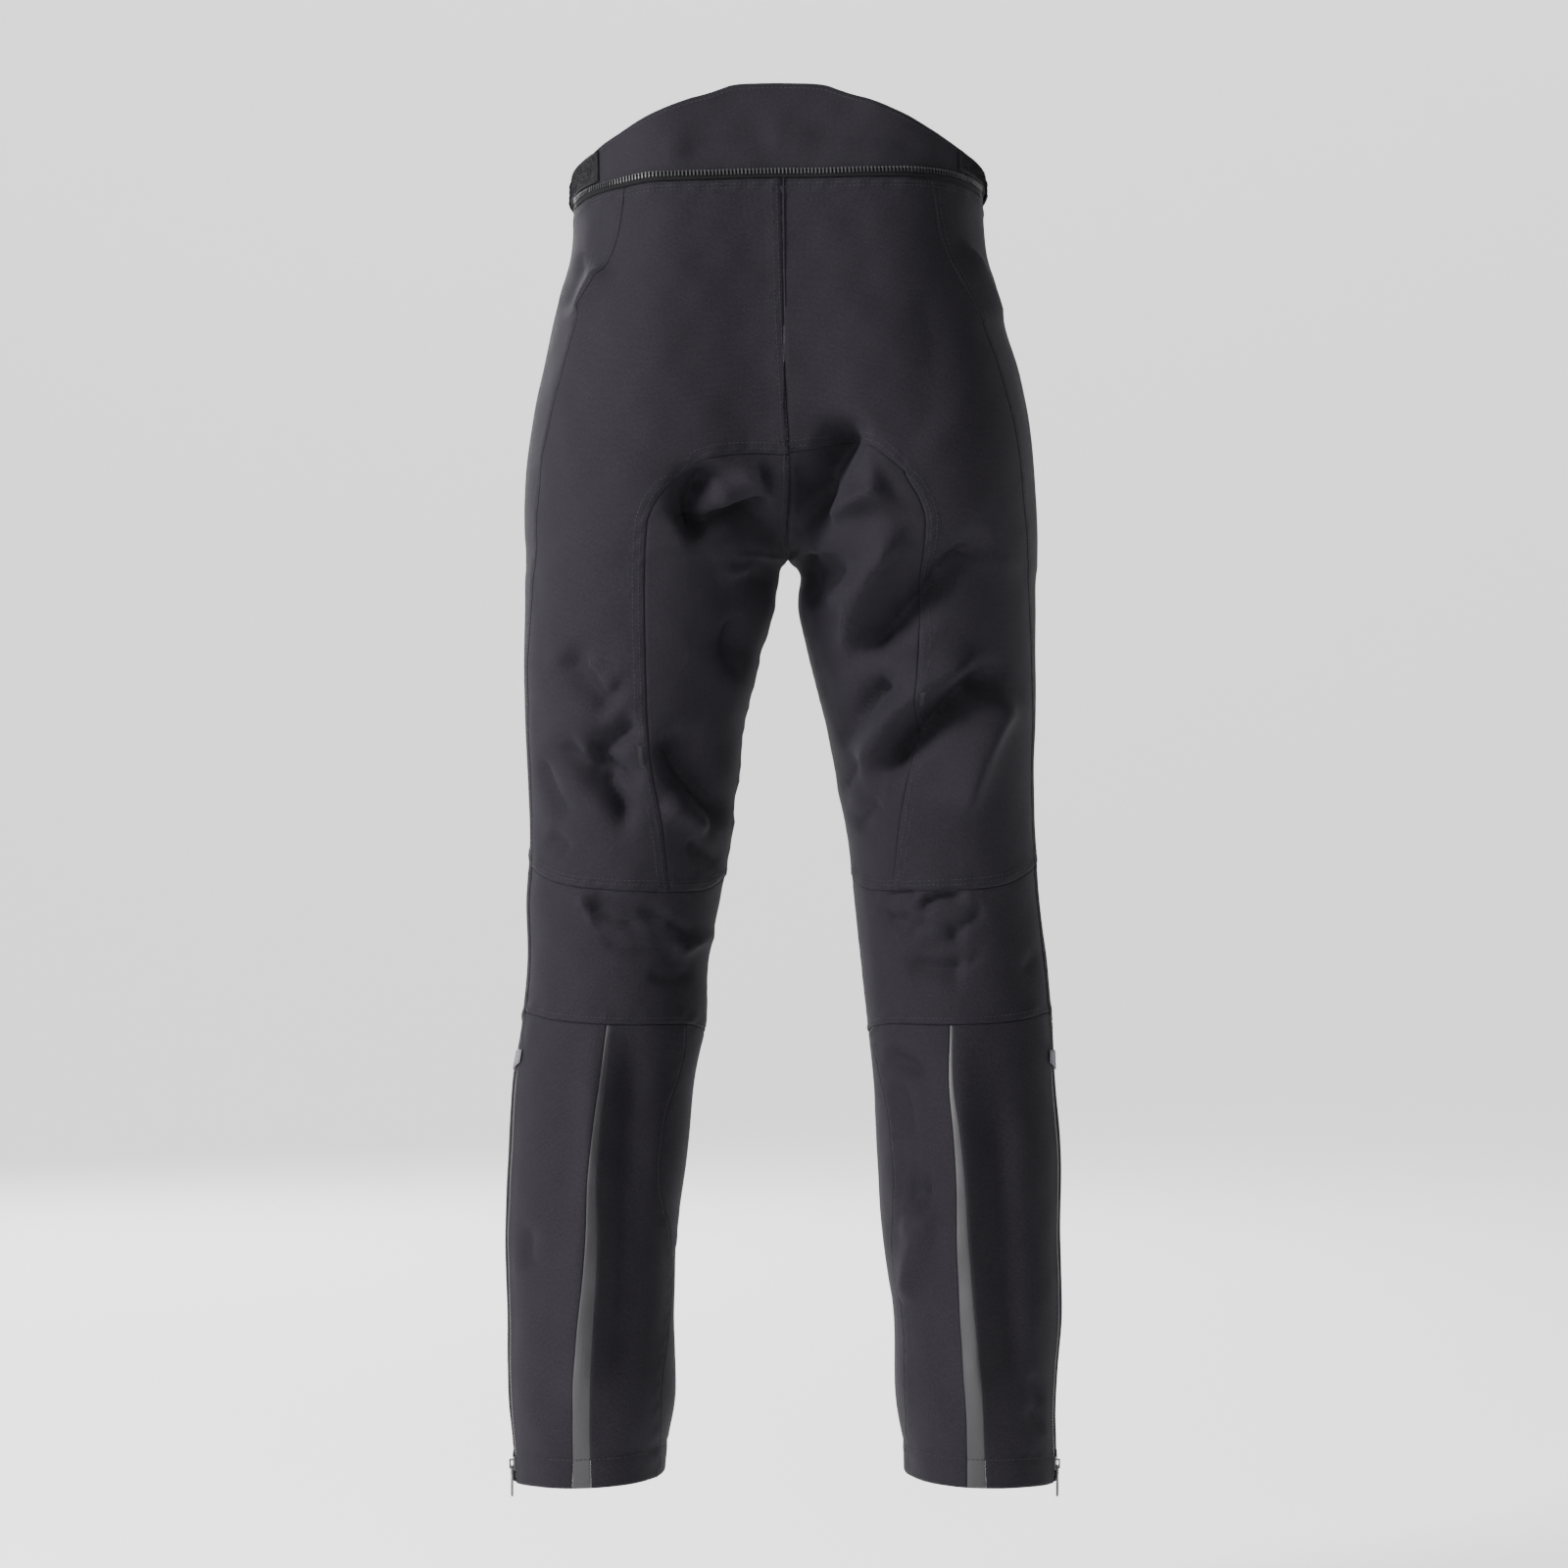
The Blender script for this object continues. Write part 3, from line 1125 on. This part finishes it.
def toothShape(bm, place):
    tooth = waistZip
    flip = 1 if (place.to_3x3() @ Vector((0, 1, 0))).z > 0 else -1
    stem = Matrix.Translation((0, flip * tooth["toothBase"] * mm, tooth["toothOut"] * mm))
    stemSize = scaled(tooth["toothWidth"] * tooth["stemShare"], tooth["toothHeight"],
                      tooth["toothDepth"] * tooth["stemShare"])
    bmesh.ops.create_cube(bm, size=1.0, matrix=place @ stem @ stemSize)
    head = Matrix.Translation((0, flip * (tooth["toothBase"] + tooth["headUp"]) * mm, tooth["toothOut"] * mm))
    bevelledBox(bm, place @ head @ scaled(tooth["headWidth"], tooth["headHeight"], tooth["toothDepth"]))


def addTeeth(name, frames, make):
    bm = bmesh.new()
    addEach(bm, frames, make)
    obj = link(name, bm, materials["plastic"])
    obj.data.shade_flat()
    belong(obj)


def makeWaistZip():
    cols = between(allColumns, 8, column["end"])
    cols = np.concatenate([[waistZip["startColumn"]], cols[cols > waistZip["startColumn"]]])
    points, normals = laidStrip(cols, np.linspace(waistZip["tapeHigh"], waistZip["tapeLow"], 4))
    points = points + normals * waistZip["lift"]
    clothPiece("connection_zip_tape", points, normals, "tape", waistZip["wall"],
               ("connection_zip",))
    line, out = laidStrip(cols, [waistZip["tapeHigh"] / 2])
    frames = framesAlong(line[0], out[0], waistZip["pitch"])
    addTeeth("connection_zip_teeth", frames, toothShape)
    print("connection zip teeth:", len(frames))


makeWaistZip()

# Hook-and-loop patches at the sides of the waistband: a sewn base with a dense pile
loopPatch = dict(startColumn=6.6, endColumn=9.25, topRow=0.22, aboveSeam=9.5, down=12, across=30, lift=0.9,
                 wall=1.1, pile=2600, margin=0.6, lean=0.55, fibre=1.5, fibreWidth=0.22, fibreTip=0.07,
                 fibreUp=1.3, stitchUp=1.2)


def fibreShape(bm, place):
    bmesh.ops.create_cone(bm, cap_ends=False, segments=3, radius1=loopPatch["fibreWidth"] * mm,
                          radius2=loopPatch["fibreTip"] * mm, depth=loopPatch["fibre"] * mm, matrix=place)


def makePatches():
    patch = loopPatch
    far = patch["down"] - 1 - patch["margin"], patch["across"] - 1 - patch["margin"]
    for side in sides:
        cols = np.linspace(patch["startColumn"], patch["endColumn"], patch["across"])
        low = bandOffsetRows(side, cols, [patch["aboveSeam"]])[0]
        shares = np.linspace(0, 1, patch["down"])
        lines = [surface(side, patch["topRow"] * (1 - share) + low * share, cols[:, None]) for share in shares]
        points, normals = (np.stack([line[kind][:, 0] for line in lines]) for kind in (0, 1))
        points = points + normals * (patch["lift"] + trimRim(points))[..., None]
        clothPiece(f"loop_patch_{side}", points, normals, "loops", patch["wall"],
                   (f"loop_patch_{side}",))
        frames = []
        for _ in range(patch["pile"]):
            r, c = randomDraw.uniform(patch["margin"], far[0]), randomDraw.uniform(patch["margin"], far[1])
            i, j = int(r), int(c)
            here, normal = points[i, j], normals[i, j]
            place = here + (points[i + 1, j] - here) * (r - i) + (points[i, j + 1] - here) * (c - j)
            lean = Vector(normal) + Vector(randomDraw.normal(size=3) * patch["lean"])
            turned = lean.to_track_quat("Z", "Y").to_matrix().to_4x4()
            frames.append(Matrix.Translation(Vector(place + normal * patch["fibreUp"]) * mm) @ turned)
        bm = bmesh.new()
        addEach(bm, frames, fibreShape)
        belong(link(f"loop_pile_{side}", bm, materials["loops"]))
        stitchRound(f"loop_patch_{side}", points, normals, patch["stitchUp"], "thread")


makePatches()

# Adjuster straps, fly flap and waist tab, each with a row of stitches round its edge.
# Rows are start, end and count, and a block is side, first and last column and count
Trim = namedtuple("Trim", "name rows blocks lift wall cloth slot flat")
trims = (
    Trim("adjuster_strap_left", (0.5, 2.1, 9), (("left", 5.0, 7.6, 24),), 2.9, 1.3, "band", "band_cloth", (120, 26)),
    Trim("adjuster_strap_right", (0.5, 2.1, 9), (("right", 5.0, 7.6, 24),), 2.9, 1.3, "band", "band_cloth", (120, 26)),
    Trim("fly_flap", (3.12, 9.0, 40), (("left", 0.06, 1.0, 9),), 1.3, 1.2, "shell", "shell_cloth", (26, 95)),
    Trim("waist_tab", (0.45, 2.55, 9), (("right", 1.0, 0.0, 9), ("left", 0.0, 0.6, 6)), 0.9, 1.4, "band",
         "band_cloth", (42, 28)),
)


def makeTrim():
    laid = []
    for trim in trims:
        rows = np.linspace(*trim.rows)
        blocks = [(side, rows, everyRow(rows, np.linspace(*cols))) for side, *cols in trim.blocks]
        laid.append(layTrim(trim, blocks))
    for trim, (points, normals) in zip(trims, laid):
        stitchRound(trim.name, points, normals, trim.wall, "thread")


makeTrim()

# Leg zips: tape behind the opening, two rows of teeth on it, and the grey tab sewn over the top end
legZip = dict(tapeHalf=8.0, tapeDepth=-2.35, tapeWall=0.9, topRow=35.0, endRow=48.88, pitch=2.2, depth=-1.3,
              tooth=(1.25, 3.3, 1.9), stagger=0.95, clear=1.0, down=90, across=7)
zipTab = dict(start=9.72, end=10.34, top=35.2, startRow=35.8, endRow=35.6, points=8, lift=1.0, wall=1.0)


def legToothShape(bm, place):
    bevelledBox(bm, place @ scaled(*legZip["tooth"]))


def makeLegZips():
    for side in sides:
        rows = np.linspace(legZip["topRow"], legZip["endRow"], legZip["down"])
        width = np.interp(rows, wholeRows, seamWidths[side].mean(axis=1))
        across = np.linspace(-1, 1, legZip["across"])[None, :] * (legZip["tapeHalf"] / width)[:, None]
        points, normals = surface(side, rows, column["side"] + across)
        points = points + normals * legZip["tapeDepth"]
        clothPiece(f"leg_zip_tape_{side}", points, normals, "tape", legZip["tapeWall"],
                   (f"leg_zip_{side}",), laid=False)

        line, out = surface(side, rows, everyRow(rows, [column["side"]]))
        line, out = line[:, 0] + out[:, 0] * legZip["depth"], out[:, 0]
        lengths = lengthsOf(line)
        frames = []
        for n, place in enumerate(np.arange(legZip["clear"], lengths[-1] - legZip["clear"], legZip["pitch"] / 2)):
            at, ahead = (Vector(point) for point in valuesAt(np.array((place, place + 1)), lengths, line))
            normal = Vector(valuesAt(place, lengths, out)).normalized()
            along = (ahead - at).normalized()
            turned = Matrix((along, normal.cross(along), normal)).transposed().to_4x4()
            away = Matrix.Translation((0, (1 if n % 2 else -1) * legZip["stagger"] * mm, 0))
            frames.append(Matrix.Translation(at * mm) @ turned @ away)
        addTeeth(f"leg_zip_teeth_{side}", frames, legToothShape)

        cols = np.linspace(zipTab["start"], zipTab["end"], zipTab["points"])
        lower = np.linspace(zipTab["startRow"], zipTab["endRow"], zipTab["points"])
        shares = np.linspace(0, 1, zipTab["points"])
        lines = [surface(side, zipTab["top"] * (1 - share) + lower * share, cols[:, None]) for share in shares]
        points, normals = (np.stack([line[kind][:, 0] for line in lines]) for kind in (0, 1))
        points = points + normals * zipTab["lift"]
        name = f"zip_tab_{side}"
        clothPiece(name, points, normals, "tab", zipTab["wall"], (name,))
        stitchRound(name, points, normals, zipTab["wall"], "tab")


makeLegZips()


def roundedCopy(node, width, material, body):
    # a hard piece's own shape with its edges rounded
    bm = bmesh.new()
    bm.from_mesh(bpy.data.objects[node].data)
    bmesh.ops.remove_doubles(bm, verts=bm.verts, dist=0.01 * mm)
    bmesh.ops.dissolve_limit(bm, angle_limit=math.radians(2), verts=bm.verts, edges=bm.edges)
    bmesh.ops.recalc_face_normals(bm, faces=bm.faces)
    obj = link(f"{node}_rounded", bm, material)
    rounding = obj.modifiers.new("rounding", "BEVEL")
    rounding.width = width * mm
    rounding.segments = 2
    rounding.limit_method = "ANGLE"
    return belong(obj, body, (node,))


for side in sides:
    roundedCopy(f"zip_slider_{side}", 0.35, materials["zinc"], "trousers")
    roundedCopy(f"zip_pull_{side}", 0.3, materials["zinc"], f"{side}_pull")


# Snap button: a domed cap with a rolled rim, turned from one outline
snap = dict(profile=((0.0, 2.3), (2.6, 2.2), (4.3, 1.7), (4.9, 1.9), (5.7, 2.2), (6.4, 1.6), (6.4, 0.5),
                     (5.6, 0.1), (0.0, 0.1)), steps=32, row=1.5, column=0.5, sink=1.3)


def makeSnap():
    low, high = (Vector(corner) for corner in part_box("snap_button"))
    middle = (low + high) / 2
    _, normals = surface("right", [snap["row"]], np.array([[snap["column"]]]))
    out = Vector(normals[0, 0])
    base = middle - out * snap["sink"] * mm
    bm = bmesh.new()
    verts = [bm.verts.new((x * mm, 0, z * mm)) for x, z in snap["profile"]]
    edges = [bm.edges.new(pair) for pair in zip(verts, verts[1:])]
    bmesh.ops.spin(bm, geom=verts + edges, cent=(0, 0, 0), axis=(0, 0, 1), angle=2 * math.pi,
                   steps=snap["steps"], use_merge=True)
    bmesh.ops.remove_doubles(bm, verts=bm.verts, dist=0.01 * mm)
    bmesh.ops.recalc_face_normals(bm, faces=bm.faces)
    place = Matrix.Translation(base) @ out.to_track_quat("Z", "Y").to_matrix().to_4x4()
    bmesh.ops.transform(bm, matrix=place, verts=bm.verts)
    belong(link("snap_button_cap", bm, materials["zinc"]), replaces=("snap_button",))


makeSnap()
print("trim made")

# Camera at the photograph's place: level, behind the trousers
cameraPlace = dict(distance=3.6, height=-0.4656, lens=101.25, sensor=36.0)
cameraData = bpy.data.cameras.new("camera")
cameraData.lens = cameraPlace["lens"]
cameraData.sensor_width = cameraPlace["sensor"]
camera = bpy.data.objects.new("camera", cameraData)
camera.location = (0, cameraPlace["distance"], cameraPlace["height"])
camera.rotation_euler = (math.radians(90), 0, math.radians(180))
bpy.context.scene.collection.objects.link(camera)
bpy.context.scene.camera = camera

lamps = (
    dict(name="keyLight", place=(3.2, 1.9, 1.3), size=1.2, power=400.0),
    dict(name="topLight", place=(1.5, 0.5, 4.2), size=3.0, power=60.0),
    dict(name="fillLight", place=(0.6, 4.6, 0.6), size=2.5, power=105.0),
    dict(name="frontLight", place=(1.2, -4.0, 1.2), size=2.0, power=150.0),
)
lampAim = Vector((0, 0, -0.5))
for spec in lamps:
    data = bpy.data.lights.new(spec["name"], "AREA")
    data.shape = "SQUARE"
    data.size = spec["size"]
    data.energy = spec["power"]
    lamp = bpy.data.objects.new(spec["name"], data)
    bpy.context.scene.collection.objects.link(lamp)
    lamp.location = spec["place"]
    lamp.rotation_euler = (lampAim - lamp.location).to_track_quat("-Z", "Y").to_euler()

studio = dict(colour="#ffffff", strength=0.3)
world = bpy.data.worlds.new("softStudio")
world.use_nodes = True
backdrop = world.node_tree.nodes["Background"]
backdrop.inputs["Color"].default_value = linear(studio["colour"])
backdrop.inputs["Strength"].default_value = studio["strength"]
bpy.context.scene.world = world

# A pale paper floor that sweeps up far behind
sweep = dict(z=-1.2, half=14.0, back=-8.0, radius=3.2, height=6.0, steps=16, colour="#f6f6f6", glow=0.75)


def makeFloor():
    bm = bmesh.new()
    z, back, radius = sweep["z"], sweep["back"], sweep["radius"]
    outline = [(sweep["half"], z), (back + radius, z)]
    for n in range(1, sweep["steps"] + 1):
        angle = math.radians(90) * n / sweep["steps"]
        outline.append((back + radius - radius * math.sin(angle), z + radius - radius * math.cos(angle)))
    outline.append((back, z + sweep["height"]))
    verts = [bm.verts.new((-sweep["half"], y, height)) for y, height in outline]
    edges = [bm.edges.new(pair) for pair in zip(verts, verts[1:])]
    made = bmesh.ops.extrude_edge_only(bm, edges=edges)["geom"]
    moved = [part for part in made if isinstance(part, bmesh.types.BMVert)]
    bmesh.ops.translate(bm, verts=moved, vec=(2 * sweep["half"], 0, 0))
    paper, _, _ = newMaterial("palePaper", **{
        "Roughness": 0.9, "Base Color": linear(sweep["colour"]), "Emission Color": linear("#ffffff"),
        "Emission Strength": sweep["glow"]})
    link("floor", bm, paper)


makeFloor()
